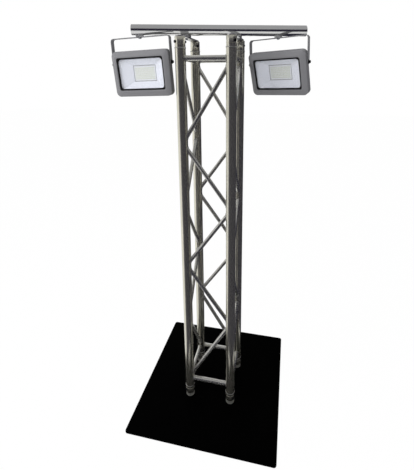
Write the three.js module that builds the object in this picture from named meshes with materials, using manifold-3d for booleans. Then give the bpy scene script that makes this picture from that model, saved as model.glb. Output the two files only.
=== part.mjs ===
// Lighting T bar stand: an upright box truss on a square steel plate, a cross tube on top, two floodlights.
// Millimetres, Z up, X to the viewer's right, origin at the middle of the plate's underside.
import * as THREE from "three";
import { mergeVertices } from "three/addons/utils/BufferGeometryUtils.js";
import Module from "manifold-3d";

const wasm = await Module();
wasm.setup();

const half = 1 / 2;
const degree = Math.PI / 180;
const quarterTurn = Math.PI / 2;

// Fits
const seamGap = 0.3; // between pieces that sit against each other
const weldTolerance = 0.0001; // vertices closer than this are one
const overrun = 2; // how far a cutter reaches past the face it cuts

// Base plate
const plateWidth = 800;
const plateThickness = 8;
const plateCornerRadius = 14;

// Box truss
const trussLength = 2000;
const chordSpacing = 240; // between chord axes
const chordRadius = 25;
const chordWall = 3;
const braceRadius = 12.5;
const lacingRadius = 10;
const lacingFromEnd = 106.5; // outermost lacing joint to the truss end
const lacingMiddleShare = 0.1675; // one of the three middle bays, as a share of the truss length
const lacingRootDepth = 1.5; // how deep a lacing tube is let into its own chord

// Coupler receivers, the turned ends of the chords
const receiverLength = 47;
const receiverTail = 18; // part of it inside the chord tube
const receiverStep = 0.5; // how far it stays back from the chord's surface
const receiverWall = 5.2; // at the mouth
const receiverChamfer = 1.5;
const beadRise = 1; // weld bead between chord and receiver
const beadWidth = 5;
const braceBeyondBead = 43; // bead to the axis of the end brace
const receiverRadius = chordRadius - receiverStep;
const beadRadius = chordRadius + beadRise;
const braceFromEnd = receiverLength + beadWidth + braceBeyondBead;

// Conical couplers
const coneTaper = 3; // loss of radius from base to tip
const coneShortfall = 3; // cone ends this far before the bead
const coneTipChamfer = 2;
const flangeHeight = 20;
const coneBaseRadius = receiverRadius - receiverWall - seamGap;
const coneTipRadius = coneBaseRadius - coneTaper;
const coneLength = receiverLength - coneShortfall;

// Taper pins through receiver and cone
const pinHeadRadius = 6.4;
const pinTailRadius = 5.6;
const pinHeadStandout = 5; // from the receiver's surface
const pinTailStandout = 6;
const pinFromEnd = coneLength * half;
const pinHeadReach = receiverRadius + pinHeadStandout;
const pinTailReach = receiverRadius + pinTailStandout;

// Countersunk screws from the plate into the couplers
const couplerScrewRadius = 6;
const couplerScrewHeadRadius = 12;
const couplerScrewHeadShare = 0.8; // head height as a share of the plate thickness
const couplerScrewPastFlange = 4;
const screwSocketRadius = 4;
const screwSocketFloor = 2.9; // metal left of the head under the socket
const couplerScrewHeadHeight = plateThickness * couplerScrewHeadShare;
const couplerScrewDepth = flangeHeight + couplerScrewPastFlange;
const screwSocketDepth = couplerScrewHeadHeight - screwSocketFloor;

// Cross tube
const barRadius = 25;
const barWall = 4;
const barTurn = 14.7; // degrees about Z, the right end towards the back
const plugLength = 16;
const plugWall = 2.5;
const plugFace = 2.5;

// Cross rails on top of the truss, each with a saddle under the cross tube
const railWidth = 40;
const railThickness = 6;
const saddleHeight = 10.5;
const saddleLength = 44; // along the rail
const saddleGrooveDepth = 3;
const railBoltRadius = 5;
const railBoltHeadRadius = 9.2;
const railBoltHeadHeight = 6.4;
const railBoltThread = 10; // length in the insert
const railBoltReach = barWall + railBoltThread;

// Floodlight fixing
const lampPan = [-20.3, -39.2]; // degrees about the hanging bolt, from square to the cross tube
const lampTilt = [3.7, 14.1]; // degrees, front edge down
const lampLean = -2.2; // degrees out of level, the right side higher
const padDrop = 7; // cross tube to strap, at the bolt
const padOverhang = 2; // beyond the strap on either side
const padLength = 34;
const padRise = 5; // how far the pad climbs the tube
const hangBoltRadius = 5;
const hangBoltHeadRadius = 8;
const hangBoltHeadHeight = 4;
const hangBoltWasherMargin = 2; // strap beyond the washer on either side
const hangBoltWasherHeight = 1.5;
const hangBoltThread = 11; // length in the insert
const hangBoltSocketRadius = 3;
const hangBoltSocketDepth = 2;
const hangBoltReach = barWall + hangBoltThread;

// Threaded inserts in the cross tube
const insertWall = 4;
const insertBeyondThread = 2;
const insertRadius = hangBoltRadius + insertWall;
const insertHeight = hangBoltThread + insertBeyondThread;

// Floodlight body: a shallow rim, and behind it a smaller box with the fins
const bodyWidth = 308;
const bodyHeight = 218;
const bodyCornerRadius = 24;
const pivotBelowTop = 61;
const bodyFront = -18; // y of the joint between body and bezel
const rimDepth = 30;
const rimFloor = 5; // thickness of the step between rim and box
const backInset = 25; // rim to box, on each side
const backWall = 6;
const backCornerRadius = 14;
const bodyFloor = 8; // thickness behind the light board
const cavityMargin = 16;
const finCount = 11;
const finThickness = 3;
const finDepth = 20;
const finMargin = 8; // from the side of the box to the first fin
const finLowerMargin = 36;
const finUpperMargin = 6;
const bossHeight = 1;
const pivotRadius = 4;
const pivotFloor = 3; // metal left behind the pivot hole
const pivotHeadRadius = 7.6;
const pivotHeadHeight = 6;
const pivotFlangeRadius = 10;
const pivotFlangeHeight = 2;
const pivotDepth = cavityMargin - pivotFloor;

// Yoke
const yokeHeadroom = 61; // top of the body to the strap's upper face
const yokeThickness = 3;
const yokeWidth = 24;
const yokeBendRadius = 15; // outside of the bend
const yokeRise = pivotBelowTop + yokeHeadroom;
const yokeInnerHalf = bodyWidth * half + bossHeight + seamGap;
const bossRadius = yokeWidth * half;
const padWidth = yokeWidth + padOverhang * 2;
const hangBoltWasherRadius = yokeWidth * half - hangBoltWasherMargin;

// Where the lamps hang and where the cross tube ends, counted from the middle of the truss
const lampFromTruss = [40.2, 21.7]; // yoke to truss tube, with the yoke square to the truss
const barBeyondBolt = [36.5, 137]; // hanging bolt to the nearer end of the cross tube
const lampFromMiddle = chordSpacing * half + chordRadius + yokeInnerHalf + yokeThickness;
const lampHangX = [-lampFromMiddle - lampFromTruss[0], lampFromMiddle + lampFromTruss[1]];
const barLeftEnd = lampHangX[0] - barBeyondBolt[0];
const barRightEnd = lampHangX[1] + barBeyondBolt[1];

// Front of the floodlight
const bezelDepth = 12;
const bezelBorderX = 28; // body's side to the opening
const bezelBorderZ = 31; // body's top to the opening
const bezelLipWidth = 7;
const bezelLipDepth = 3.7; // in front of the seal frame
const bezelSkirt = 3; // straight part before the slope
const openingCornerRadius = 10;
const glassThickness = 4;
const glassMargin = 6; // glass beyond the opening on each side
const glassCornerRadius = 14;
const sealFrameWidth = 8;
const sealFrameThickness = 3;
const bezelFront = bodyFront - bezelDepth;
const openingWidth = bodyWidth - bezelBorderX * 2;
const openingHeight = bodyHeight - bezelBorderZ * 2;
const glassFront = bezelFront + bezelLipDepth + sealFrameThickness + seamGap;

// Reflector and light board
const ledBoardWidth = 118;
const ledBoardHeight = 72;
const ledBoardThickness = 1.6;
const reflectorFloorMargin = 3; // around the light board
const reflectorWall = 1.5;
const reflectorDepth = 32.5;
const reflectorFront = glassFront + glassThickness + seamGap;
const reflectorBack = reflectorFront + reflectorDepth;
const ledBoardFront = reflectorBack + seamGap;
const ledBoardBack = ledBoardFront + ledBoardThickness;
const cavityFloor = ledBoardBack + seamGap;
const bodyBack = cavityFloor + bodyFloor;

// Cable gland on the back, halfway between the fins and the lower edge of the box
const glandNutRadius = 9;
const glandNutLength = 10;
const glandDomeRadius = 8;
const glandDomeLength = 12;
const glandTipRadius = 5.5;
const glandBore = 3.4;
const glandFloor = 2.3; // closed end of the bore
const glandBelowPivot = bodyHeight - pivotBelowTop - backInset - finLowerMargin * half;

// Roundness of the turned pieces
const chordSides = 20;
const tubeSides = 10;
const turnedSides = 16;
const smallSides = 12;
const hexSides = 6;
const arcSteps = 4;

const aluminium = new THREE.MeshStandardMaterial({ color: 0xa3a49d, metalness: 1, roughness: 0.38 });
const barAluminium = new THREE.MeshStandardMaterial({ color: 0xc8c8c6, metalness: 1, roughness: 0.25 });
const couplerAluminium = new THREE.MeshStandardMaterial({ color: 0xb5b5b0, metalness: 1, roughness: 0.3 });
const zincSteel = new THREE.MeshStandardMaterial({ color: 0x8d8f92, metalness: 1, roughness: 0.4 });
const darkSteel = new THREE.MeshStandardMaterial({ color: 0x323234, metalness: 1, roughness: 0.45 });
const blackSteel = new THREE.MeshStandardMaterial({ color: 0x0a0a0a, metalness: 0, roughness: 0.6 });
const greyPaint = new THREE.MeshStandardMaterial({ color: 0x6f6f70, metalness: 0, roughness: 0.5 });
const yokePaint = new THREE.MeshStandardMaterial({ color: 0x58585a, metalness: 0, roughness: 0.5 });
const blackRubber = new THREE.MeshStandardMaterial({ color: 0x0d0d0e, metalness: 0, roughness: 0.7 });
const blackPlastic = new THREE.MeshStandardMaterial({ color: 0x151516, metalness: 0, roughness: 0.5 });
const clearGlass = new THREE.MeshStandardMaterial({
  color: 0xdfe6ee,
  metalness: 0,
  roughness: 0.05,
  transparent: true,
  opacity: 0.35,
});
const whiteReflector = new THREE.MeshStandardMaterial({ color: 0xe4e6f0, metalness: 0, roughness: 0.3 });
const ledBoardMaterial = new THREE.MeshStandardMaterial({ color: 0xc3c8b4, metalness: 0, roughness: 0.5 });

const group = new THREE.Group();
group.name = "lighting_t_bar_stand";

// Solids and meshes

function toSolid(geometry) {
  const bare = geometry.index ? geometry.toNonIndexed() : geometry.clone();
  bare.deleteAttribute("normal");
  bare.deleteAttribute("uv");
  const merged = mergeVertices(bare, weldTolerance);
  const index = merged.index.array;
  const corners = [];
  for (let i = 0; i < index.length; i += 3) {
    const [a, b, c] = [index[i], index[i + 1], index[i + 2]];
    if (a !== b && b !== c && c !== a) corners.push(a, b, c);
  }
  const mesh = new wasm.Mesh({
    numProp: 3,
    vertProperties: Float32Array.from(merged.attributes.position.array),
    triVerts: Uint32Array.from(corners),
  });
  return new wasm.Manifold(mesh);
}

function toGeometry(solid) {
  const mesh = solid.getMesh();
  const geometry = new THREE.BufferGeometry();
  geometry.setAttribute("position", new THREE.BufferAttribute(Float32Array.from(mesh.vertProperties), 3));
  geometry.setIndex(new THREE.BufferAttribute(Uint32Array.from(mesh.triVerts), 1));
  geometry.computeVertexNormals();
  return geometry;
}

function moved(solid, frame) {
  const geometry = toGeometry(solid);
  geometry.applyMatrix4(frame);
  return toSolid(geometry);
}

function place(name, solid, material, frame) {
  const mesh = new THREE.Mesh(toGeometry(solid), material);
  mesh.name = name;
  if (frame) mesh.applyMatrix4(frame);
  group.add(mesh);
}

// A solid turned about Z from a closed outline of [radius, height] pairs, outside going up.
function turned(outline, sides) {
  const points = outline.map(([radius, height]) => new THREE.Vector2(radius, height));
  points.push(points[0].clone());
  const geometry = new THREE.LatheGeometry(points, sides);
  geometry.rotateX(quarterTurn);
  return toSolid(geometry);
}

// A round bar from one point to another, its end radii given in the same order.
function rod(from, to, radiusFrom, radiusTo, sides) {
  const start = new THREE.Vector3(...from);
  const way = new THREE.Vector3(...to).sub(start);
  const length = way.length();
  const geometry = new THREE.CylinderGeometry(radiusTo, radiusFrom, length, sides);
  geometry.translate(0, length * half, 0);
  const turn = new THREE.Quaternion().setFromUnitVectors(new THREE.Vector3(0, 1, 0), way.normalize());
  geometry.applyQuaternion(turn);
  geometry.translate(start.x, start.y, start.z);
  return toSolid(geometry);
}

function block(sizeX, sizeY, sizeZ, centreX, centreY, centreZ) {
  const geometry = new THREE.BoxGeometry(sizeX, sizeY, sizeZ);
  geometry.translate(centreX, centreY, centreZ);
  return toSolid(geometry);
}

function roundedOutline(width, height, radius) {
  const x = width * half;
  const y = height * half;
  const shape = new THREE.Shape();
  shape.moveTo(x - radius, -y);
  shape.absarc(x - radius, radius - y, radius, -quarterTurn, 0, false);
  shape.absarc(x - radius, y - radius, radius, 0, quarterTurn, false);
  shape.absarc(radius - x, y - radius, radius, quarterTurn, Math.PI, false);
  shape.absarc(radius - x, radius - y, radius, Math.PI, Math.PI + quarterTurn, false);
  return shape;
}

// A rounded slab standing in the XZ plane, between two y values, with its middle at height z.
function slab(width, height, radius, yFront, yBack, z) {
  const shape = roundedOutline(width, height, radius);
  const depth = yBack - yFront;
  const geometry = new THREE.ExtrudeGeometry(shape, { depth, bevelEnabled: false, curveSegments: arcSteps });
  geometry.rotateX(quarterTurn);
  geometry.translate(0, yBack, z);
  return toSolid(geometry);
}

// Base plate with four countersunk holes

const plateTop = plateThickness;
const spacing = chordSpacing * half;
const corners = {
  front_left: [-spacing, -spacing],
  front_right: [spacing, -spacing],
  back_right: [spacing, spacing],
  back_left: [-spacing, spacing],
};

const plateShape = roundedOutline(plateWidth, plateWidth, plateCornerRadius);
const plateGeometry = new THREE.ExtrudeGeometry(plateShape, {
  depth: plateThickness,
  bevelEnabled: false,
  curveSegments: arcSteps,
});
let plate = toSolid(plateGeometry);
const screwHole = couplerScrewRadius + seamGap;
const headHole = couplerScrewHeadRadius + seamGap;
for (const [x, y] of Object.values(corners)) {
  const drill = rod([x, y, -overrun], [x, y, plateTop + overrun], screwHole, screwHole, turnedSides);
  plate = plate.subtract(drill);
  const sink = rod([x, y, 0], [x, y, couplerScrewHeadHeight], headHole, screwHole, turnedSides);
  plate = plate.subtract(sink);
}
place("base_plate", plate, blackSteel);

// Half couplers standing on the plate, their screws and pins

const couplerFoot = plateTop + seamGap;
const trussBottom = couplerFoot + flangeHeight + seamGap;
const trussTop = trussBottom + trussLength;
const railBottom = trussTop + seamGap;
const railTop = railBottom + railThickness;

function pinDirection(x, y) {
  return new THREE.Vector3(x, y, 0).normalize();
}

function pinBore(x, y, z, extra) {
  const out = pinDirection(x, y);
  const head = [x + out.x * pinHeadReach, y + out.y * pinHeadReach, z];
  const tail = [x - out.x * pinTailReach, y - out.y * pinTailReach, z];
  return rod(tail, head, pinTailRadius + extra, pinHeadRadius + extra, smallSides);
}

const lowerPinHeight = trussBottom + pinFromEnd;
const upperPinHeight = trussTop - pinFromEnd;
const flangeTop = couplerFoot + flangeHeight;
const coneTop = flangeTop + coneLength;
for (const [name, [x, y]] of Object.entries(corners)) {
  const outline = [
    [0, couplerFoot],
    [receiverRadius - receiverChamfer, couplerFoot],
    [receiverRadius, couplerFoot + receiverChamfer],
    [receiverRadius, flangeTop - receiverChamfer],
    [receiverRadius - receiverChamfer, flangeTop],
    [coneBaseRadius, flangeTop],
    [coneTipRadius, coneTop - coneTipChamfer],
    [coneTipRadius - coneTipChamfer, coneTop],
    [0, coneTop],
  ];
  let coupler = turned(outline, turnedSides).translate([x, y, 0]);
  const threadTop = plateTop + couplerScrewDepth + overrun;
  coupler = coupler.subtract(rod([x, y, 0], [x, y, threadTop], screwHole, screwHole, turnedSides));
  coupler = coupler.subtract(pinBore(x, y, lowerPinHeight, seamGap));
  place(`half_coupler_${name}`, coupler, couplerAluminium);

  const screwTop = plateTop + couplerScrewDepth;
  const headTop = couplerScrewHeadHeight - seamGap;
  const screwFoot = seamGap;
  const screw = turned(
    [
      [0, screwFoot],
      [couplerScrewHeadRadius, screwFoot],
      [couplerScrewRadius, headTop],
      [couplerScrewRadius, screwTop],
      [0, screwTop],
    ],
    turnedSides,
  );
  const socketTop = screwFoot + screwSocketDepth;
  const socket = rod([0, 0, -overrun], [0, 0, socketTop], screwSocketRadius, screwSocketRadius, hexSides);
  place(`coupler_screw_${name}`, screw.subtract(socket).translate([x, y, 0]), zincSteel);
}

// Taper pins through the receivers, top and bottom

for (const [level, z] of Object.entries({ lower: lowerPinHeight, upper: upperPinHeight })) {
  for (const [name, [x, y]] of Object.entries(corners)) {
    place(`taper_pin_${level}_${name}`, pinBore(x, y, z, 0), darkSteel);
  }
}

// Truss sides: a chord with its two receivers and the lacing welded to it

const beadLow = trussBottom + receiverLength;
const beadHigh = trussTop - receiverLength;
const tubeBore = chordRadius - chordWall;
const coneSlope = (coneBaseRadius - coneTipRadius) / (coneLength - coneTipChamfer);
const boreMouth = coneBaseRadius + seamGap;
const receiverDepth = receiverLength + receiverTail;
const boreThroat = boreMouth - coneSlope * receiverDepth;

function chordSolid(x, y) {
  const outline = [
    [boreMouth, trussBottom],
    [receiverRadius - receiverChamfer, trussBottom],
    [receiverRadius, trussBottom + receiverChamfer],
    [receiverRadius, beadLow],
    [beadRadius, beadLow + beadWidth * half],
    [chordRadius, beadLow + beadWidth],
    [chordRadius, beadHigh - beadWidth],
    [beadRadius, beadHigh - beadWidth * half],
    [receiverRadius, beadHigh],
    [receiverRadius, trussTop - receiverChamfer],
    [receiverRadius - receiverChamfer, trussTop],
    [boreMouth, trussTop],
    [boreThroat, trussTop - receiverDepth],
    [tubeBore, trussTop - receiverDepth],
    [tubeBore, trussBottom + receiverDepth],
    [boreThroat, trussBottom + receiverDepth],
  ];
  let chord = turned(outline, chordSides).translate([x, y, 0]);
  chord = chord.subtract(pinBore(x, y, lowerPinHeight, seamGap));
  return chord.subtract(pinBore(x, y, upperPinHeight, seamGap));
}

// Heights at which the lacing axes meet the chord axes, from the top down.
const trussMiddle = (trussBottom + trussTop) * half;
const lacingMiddlePitch = trussLength * lacingMiddleShare;
const innerNode = lacingMiddlePitch * half;
const middleNode = innerNode + lacingMiddlePitch;
const outerNode = trussLength * half - lacingFromEnd;
const lacingNodes = [
  trussMiddle + outerNode,
  trussMiddle + middleNode,
  trussMiddle + innerNode,
  trussMiddle - innerNode,
  trussMiddle - middleNode,
  trussMiddle - outerNode,
];

function chordClearance(x, y, radius) {
  return rod([x, y, trussBottom], [x, y, trussTop], radius, radius, chordSides);
}

// Each side begins at its own chord and laces across to the next chord, seen from outside on its left.
const sides = [
  ["front", "front_right", "front_left"],
  ["left", "front_left", "back_left"],
  ["back", "back_left", "back_right"],
  ["right", "back_right", "front_right"],
];
for (const [side, own, next] of sides) {
  const [x, y] = corners[own];
  const [nextX, nextY] = corners[next];
  let lacing;
  for (let i = 0; i + 1 < lacingNodes.length; i += 1) {
    const upper = i % 2 === 0 ? [x, y] : [nextX, nextY];
    const lower = i % 2 === 0 ? [nextX, nextY] : [x, y];
    const from = [...lower, lacingNodes[i + 1]];
    const to = [...upper, lacingNodes[i]];
    const tube = rod(from, to, lacingRadius, lacingRadius, tubeSides);
    lacing = lacing ? lacing.add(tube) : tube;
  }
  lacing = lacing.subtract(chordClearance(nextX, nextY, chordRadius + seamGap));
  lacing = lacing.subtract(chordClearance(x, y, chordRadius - lacingRootDepth));
  place(`truss_side_${side}`, chordSolid(x, y).add(lacing), aluminium);

  for (const [level, z] of Object.entries({
    lower: trussBottom + braceFromEnd,
    upper: trussTop - braceFromEnd,
  })) {
    let brace = rod([x, y, z], [nextX, nextY, z], braceRadius, braceRadius, tubeSides);
    brace = brace.subtract(chordClearance(x, y, chordRadius + seamGap));
    brace = brace.subtract(chordClearance(nextX, nextY, chordRadius + seamGap));
    place(`end_brace_${level}_${side}`, brace, aluminium);
  }
}

// Cross tube with pressed inserts, drawn along X, and the hanging frames of the two lamps under it

const barFrame = new THREE.Matrix4().makeRotationZ(barTurn * degree);
const barBottom = railTop + saddleHeight - saddleGrooveDepth + seamGap;
const barHeight = barBottom + barRadius;
const railBoltAlongBar = spacing / Math.cos(barTurn * degree);
const railBoltAcross = spacing * Math.tan(barTurn * degree);
const lampNames = ["left", "right"];
const leanFrames = lampHangX.map((x) => {
  const frame = new THREE.Matrix4().makeTranslation(x, 0, barBottom);
  return frame.multiply(new THREE.Matrix4().makeRotationY(lampLean * degree));
});

function along(frame, x, y, z) {
  return new THREE.Vector3(x, y, z).applyMatrix4(frame).toArray();
}

const plainFrames = [-railBoltAlongBar, railBoltAlongBar].map((x) =>
  new THREE.Matrix4().makeTranslation(x, 0, barBottom),
);
const inserts = [
  ...leanFrames.map((frame) => [frame, hangBoltRadius + seamGap]),
  ...plainFrames.map((frame) => [frame, railBoltRadius + seamGap]),
];
const barFrom = [barLeftEnd, 0, barHeight];
const barTo = [barRightEnd, 0, barHeight];
const barFull = rod(barFrom, barTo, barRadius, barRadius, chordSides);
const barBoreRadius = barRadius - barWall;
const barBoreFrom = [barLeftEnd - overrun, 0, barHeight];
const barBoreTo = [barRightEnd + overrun, 0, barHeight];
let bar = barFull.subtract(rod(barBoreFrom, barBoreTo, barBoreRadius, barBoreRadius, chordSides));
for (const [frame] of inserts) {
  const foot = along(frame, 0, 0, barWall * half);
  const head = along(frame, 0, 0, barWall + insertHeight);
  bar = bar.add(rod(foot, head, insertRadius, insertRadius, smallSides).intersect(barFull));
}
for (const [frame, insertBore] of inserts) {
  const foot = along(frame, 0, 0, -overrun);
  const head = along(frame, 0, 0, barWall + insertHeight + overrun);
  bar = bar.subtract(rod(foot, head, insertBore, insertBore, smallSides));
}
place("cross_tube", bar, barAluminium, barFrame);

// Cross rails with their conical spigots and saddles, and the bolts into the cross tube

const barSeat = barRadius + seamGap;
const barClearance = rod(barFrom, barTo, barSeat, barSeat, chordSides);
const turnedClearance = moved(barClearance, barFrame);
const railShape = roundedOutline(railWidth, chordSpacing + railWidth, railWidth * half - seamGap);
for (const [name, x, boltY] of [
  ["left", -spacing, -railBoltAcross],
  ["right", spacing, railBoltAcross],
]) {
  const railGeometry = new THREE.ExtrudeGeometry(railShape, {
    depth: railThickness,
    bevelEnabled: false,
    curveSegments: arcSteps,
  });
  railGeometry.translate(x, 0, railBottom);
  const saddleMiddle = railTop + (saddleHeight - seamGap) * half;
  const saddle = block(railWidth, saddleLength, saddleHeight + seamGap, x, boltY, saddleMiddle);
  let rail = toSolid(railGeometry).add(saddle).subtract(turnedClearance);
  for (const y of [-spacing, spacing]) {
    const spigotTop = railBottom + seamGap;
    const spigotTip = railBottom - coneLength;
    let spigot = turned(
      [
        [0, spigotTip],
        [coneTipRadius - coneTipChamfer, spigotTip],
        [coneTipRadius, spigotTip + coneTipChamfer],
        [coneBaseRadius, railBottom],
        [coneBaseRadius, spigotTop],
        [0, spigotTop],
      ],
      turnedSides,
    ).translate([x, y, 0]);
    spigot = spigot.subtract(pinBore(x, y, upperPinHeight, seamGap));
    rail = rail.add(spigot);
  }
  const boltHole = railBoltRadius + seamGap;
  const holeFoot = railBottom - overrun;
  const holeHead = railTop + saddleHeight + overrun;
  rail = rail.subtract(rod([x, boltY, holeFoot], [x, boltY, holeHead], boltHole, boltHole, smallSides));
  place(`cross_rail_${name}`, rail, aluminium);

  const headTop = railBottom - seamGap;
  const headFoot = headTop - railBoltHeadHeight;
  const boltEnd = barBottom + railBoltReach;
  const foot = [x, boltY, headFoot];
  const head = rod(foot, [x, boltY, headTop], railBoltHeadRadius, railBoltHeadRadius, hexSides);
  const shank = rod(foot, [x, boltY, boltEnd], railBoltRadius, railBoltRadius, smallSides);
  place(`rail_bolt_${name}`, head.add(shank), zincSteel);
}

// End plugs, flush with the ends of the cross tube

for (const [name, end, inward] of [["left", barLeftEnd, 1], ["right", barRightEnd, -1]]) {
  const plugRadius = barBoreRadius - seamGap;
  const hollow = plugRadius - plugWall;
  const outside = [end, 0, barHeight];
  const inside = [end + inward * plugLength, 0, barHeight];
  const floor = [end + inward * plugFace, 0, barHeight];
  const past = [end + inward * (plugLength + overrun), 0, barHeight];
  const plug = rod(outside, inside, plugRadius, plugRadius, turnedSides);
  const cup = plug.subtract(rod(floor, past, hollow, hollow, turnedSides));
  place(`end_plug_${name}`, cup, blackPlastic, barFrame);
}

// Floodlights, drawn at the pivot: front to minus Y, then tilted, panned and hung

const bodyMiddle = pivotBelowTop - bodyHeight * half;

function housing() {
  const rimBack = bodyFront + rimDepth;
  const backWidth = bodyWidth - backInset * 2;
  const backHeight = bodyHeight - backInset * 2;
  let body = slab(bodyWidth, bodyHeight, bodyCornerRadius, bodyFront, rimBack, bodyMiddle);
  body = body.add(slab(backWidth, backHeight, backCornerRadius, rimBack - seamGap, bodyBack, bodyMiddle));
  const cavityWidth = bodyWidth - cavityMargin * 2;
  const cavityHeight = bodyHeight - cavityMargin * 2;
  const cavityRadius = bodyCornerRadius - cavityMargin * half;
  const cavityFront = bodyFront - overrun;
  const stepY = rimBack - rimFloor;
  body = body.subtract(slab(cavityWidth, cavityHeight, cavityRadius, cavityFront, stepY, bodyMiddle));
  const innerWidth = backWidth - backWall * 2;
  const innerHeight = backHeight - backWall * 2;
  const innerRadius = backCornerRadius - backWall;
  body = body.subtract(slab(innerWidth, innerHeight, innerRadius, stepY - overrun, cavityFloor, bodyMiddle));
  const finSpan = backWidth - finMargin * 2;
  const finHeight = backHeight - finLowerMargin - finUpperMargin;
  const finMiddle = pivotBelowTop - backInset - finUpperMargin - finHeight * half;
  const finRoot = seamGap; // let into the rear face
  for (let i = 0; i < finCount; i += 1) {
    const x = finSpan * (i / (finCount - 1) - half);
    const y = bodyBack + (finDepth - finRoot) * half;
    body = body.add(block(finThickness, finDepth + finRoot, finHeight, x, y, finMiddle));
  }
  for (const side of [-1, 1]) {
    const face = side * bodyWidth * half;
    const bossFace = face + side * bossHeight;
    const drillEnd = face - side * pivotDepth;
    const bossFrom = [face - side * seamGap, 0, 0];
    body = body.add(rod(bossFrom, [bossFace, 0, 0], bossRadius, bossRadius, turnedSides));
    const drill = pivotRadius + seamGap;
    const drillFrom = [bossFace + side * overrun, 0, 0];
    body = body.subtract(rod(drillFrom, [drillEnd, 0, 0], drill, drill, smallSides));
  }
  return body;
}

function bezel() {
  const lipWidth = openingWidth + bezelLipWidth * 2;
  const lipHeight = openingHeight + bezelLipWidth * 2;
  const slopeSize = (bodyWidth - lipWidth) * half;
  const back = bodyFront - seamGap;
  const slopeDepth = back - bezelSkirt - bezelFront;
  const shape = roundedOutline(lipWidth, lipHeight, openingCornerRadius + bezelLipWidth);
  const slope = new THREE.ExtrudeGeometry(shape, {
    depth: bezelSkirt,
    bevelEnabled: true,
    bevelThickness: slopeDepth,
    bevelSize: slopeSize,
    bevelSegments: 2,
    curveSegments: arcSteps,
  });
  slope.rotateX(quarterTurn);
  slope.translate(0, back, bodyMiddle);
  const room = bodyWidth * 2;
  const keep = block(room, slopeDepth + bezelSkirt, room, 0, back - (slopeDepth + bezelSkirt) * half, 0);
  const full = slab(bodyWidth, bodyHeight, bodyCornerRadius, bezelFront, back, bodyMiddle);
  let frame = toSolid(slope).intersect(keep).intersect(full);
  const frontCut = bezelFront - overrun;
  const backCut = back + overrun;
  const opening = slab(openingWidth, openingHeight, openingCornerRadius, frontCut, backCut, bodyMiddle);
  const pocketWidth = openingWidth + glassMargin * 2 + seamGap * 2;
  const pocketHeight = openingHeight + glassMargin * 2 + seamGap * 2;
  const pocketFront = glassFront - seamGap;
  const pocket = slab(pocketWidth, pocketHeight, glassCornerRadius, pocketFront, backCut, bodyMiddle);
  frame = frame.subtract(opening).subtract(pocket);
  return frame;
}

function glass() {
  const width = openingWidth + glassMargin * 2;
  const height = openingHeight + glassMargin * 2;
  return slab(width, height, glassCornerRadius, glassFront, glassFront + glassThickness, bodyMiddle);
}

function sealFrame() {
  const width = openingWidth - seamGap * 2;
  const height = openingHeight - seamGap * 2;
  const back = glassFront - seamGap;
  const front = back - sealFrameThickness;
  const innerWidth = openingWidth - sealFrameWidth * 2;
  const innerHeight = openingHeight - sealFrameWidth * 2;
  const ring = slab(width, height, openingCornerRadius, front, back, bodyMiddle);
  const hole = slab(innerWidth, innerHeight, glassCornerRadius, front - overrun, back + overrun, bodyMiddle);
  return ring.subtract(hole);
}

// A four sided funnel, wide at the front, as one closed skin.
function reflector() {
  const frontX = (openingWidth - sealFrameWidth) * half;
  const frontZ = (openingHeight - sealFrameWidth) * half;
  const backX = ledBoardWidth * half + reflectorFloorMargin;
  const backZ = ledBoardHeight * half + reflectorFloorMargin;
  const rings = [
    [frontX, frontZ, reflectorFront],
    [backX, backZ, reflectorBack],
    [backX + reflectorWall, backZ + reflectorWall, reflectorBack],
    [frontX + reflectorWall * 2, frontZ + reflectorWall * 2, reflectorFront],
  ];
  const signs = [[-1, -1], [1, -1], [1, 1], [-1, 1]];
  const positions = [];
  for (const [x, z, y] of rings) {
    for (const [signX, signZ] of signs) positions.push(signX * x, y, bodyMiddle + signZ * z);
  }
  const index = [];
  const count = signs.length;
  for (let ring = 0; ring < rings.length; ring += 1) {
    const after = (ring + 1) % rings.length;
    for (let i = 0; i < count; i += 1) {
      const j = (i + 1) % count;
      const [a, b, c, d] = [ring * count + i, ring * count + j, after * count + j, after * count + i];
      index.push(a, b, c, a, c, d);
    }
  }
  const geometry = new THREE.BufferGeometry();
  geometry.setAttribute("position", new THREE.Float32BufferAttribute(positions, 3));
  geometry.setIndex(index);
  return toSolid(geometry);
}

function ledBoard() {
  const middle = (ledBoardFront + ledBoardBack) * half;
  return block(ledBoardWidth, ledBoardThickness, ledBoardHeight, 0, middle, bodyMiddle);
}

function gland() {
  const z = -glandBelowPivot;
  const seat = [0, bodyBack + seamGap, z];
  const nutEnd = [0, bodyBack + seamGap + glandNutLength, z];
  const domeEnd = [0, bodyBack + seamGap + glandNutLength + glandDomeLength, z];
  const boreEnd = [0, bodyBack + seamGap + glandNutLength + glandDomeLength + overrun, z];
  const boreFloor = [0, bodyBack + seamGap + glandFloor, z];
  const nut = rod(seat, nutEnd, glandNutRadius, glandNutRadius, hexSides);
  const dome = rod(seat, domeEnd, glandDomeRadius, glandTipRadius, turnedSides);
  const bore = rod(boreFloor, boreEnd, glandBore, glandBore, turnedSides);
  return nut.add(dome).subtract(bore);
}

function pivotScrew(side) {
  const legOuter = yokeInnerHalf + yokeThickness;
  const seat = legOuter + seamGap;
  const flangeEnd = seat + pivotFlangeHeight;
  const headEnd = flangeEnd + pivotHeadHeight;
  const tip = bodyWidth * half - pivotDepth + seamGap * 2;
  const under = [side * seat, 0, 0];
  const flangeFace = [side * flangeEnd, 0, 0];
  const headFace = [side * headEnd, 0, 0];
  const shank = rod([side * tip, 0, 0], headFace, pivotRadius, pivotRadius, smallSides);
  const flange = rod(under, flangeFace, pivotFlangeRadius, pivotFlangeRadius, turnedSides);
  const head = rod(under, headFace, pivotHeadRadius, pivotHeadRadius, hexSides);
  return shank.add(flange).add(head);
}

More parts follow.
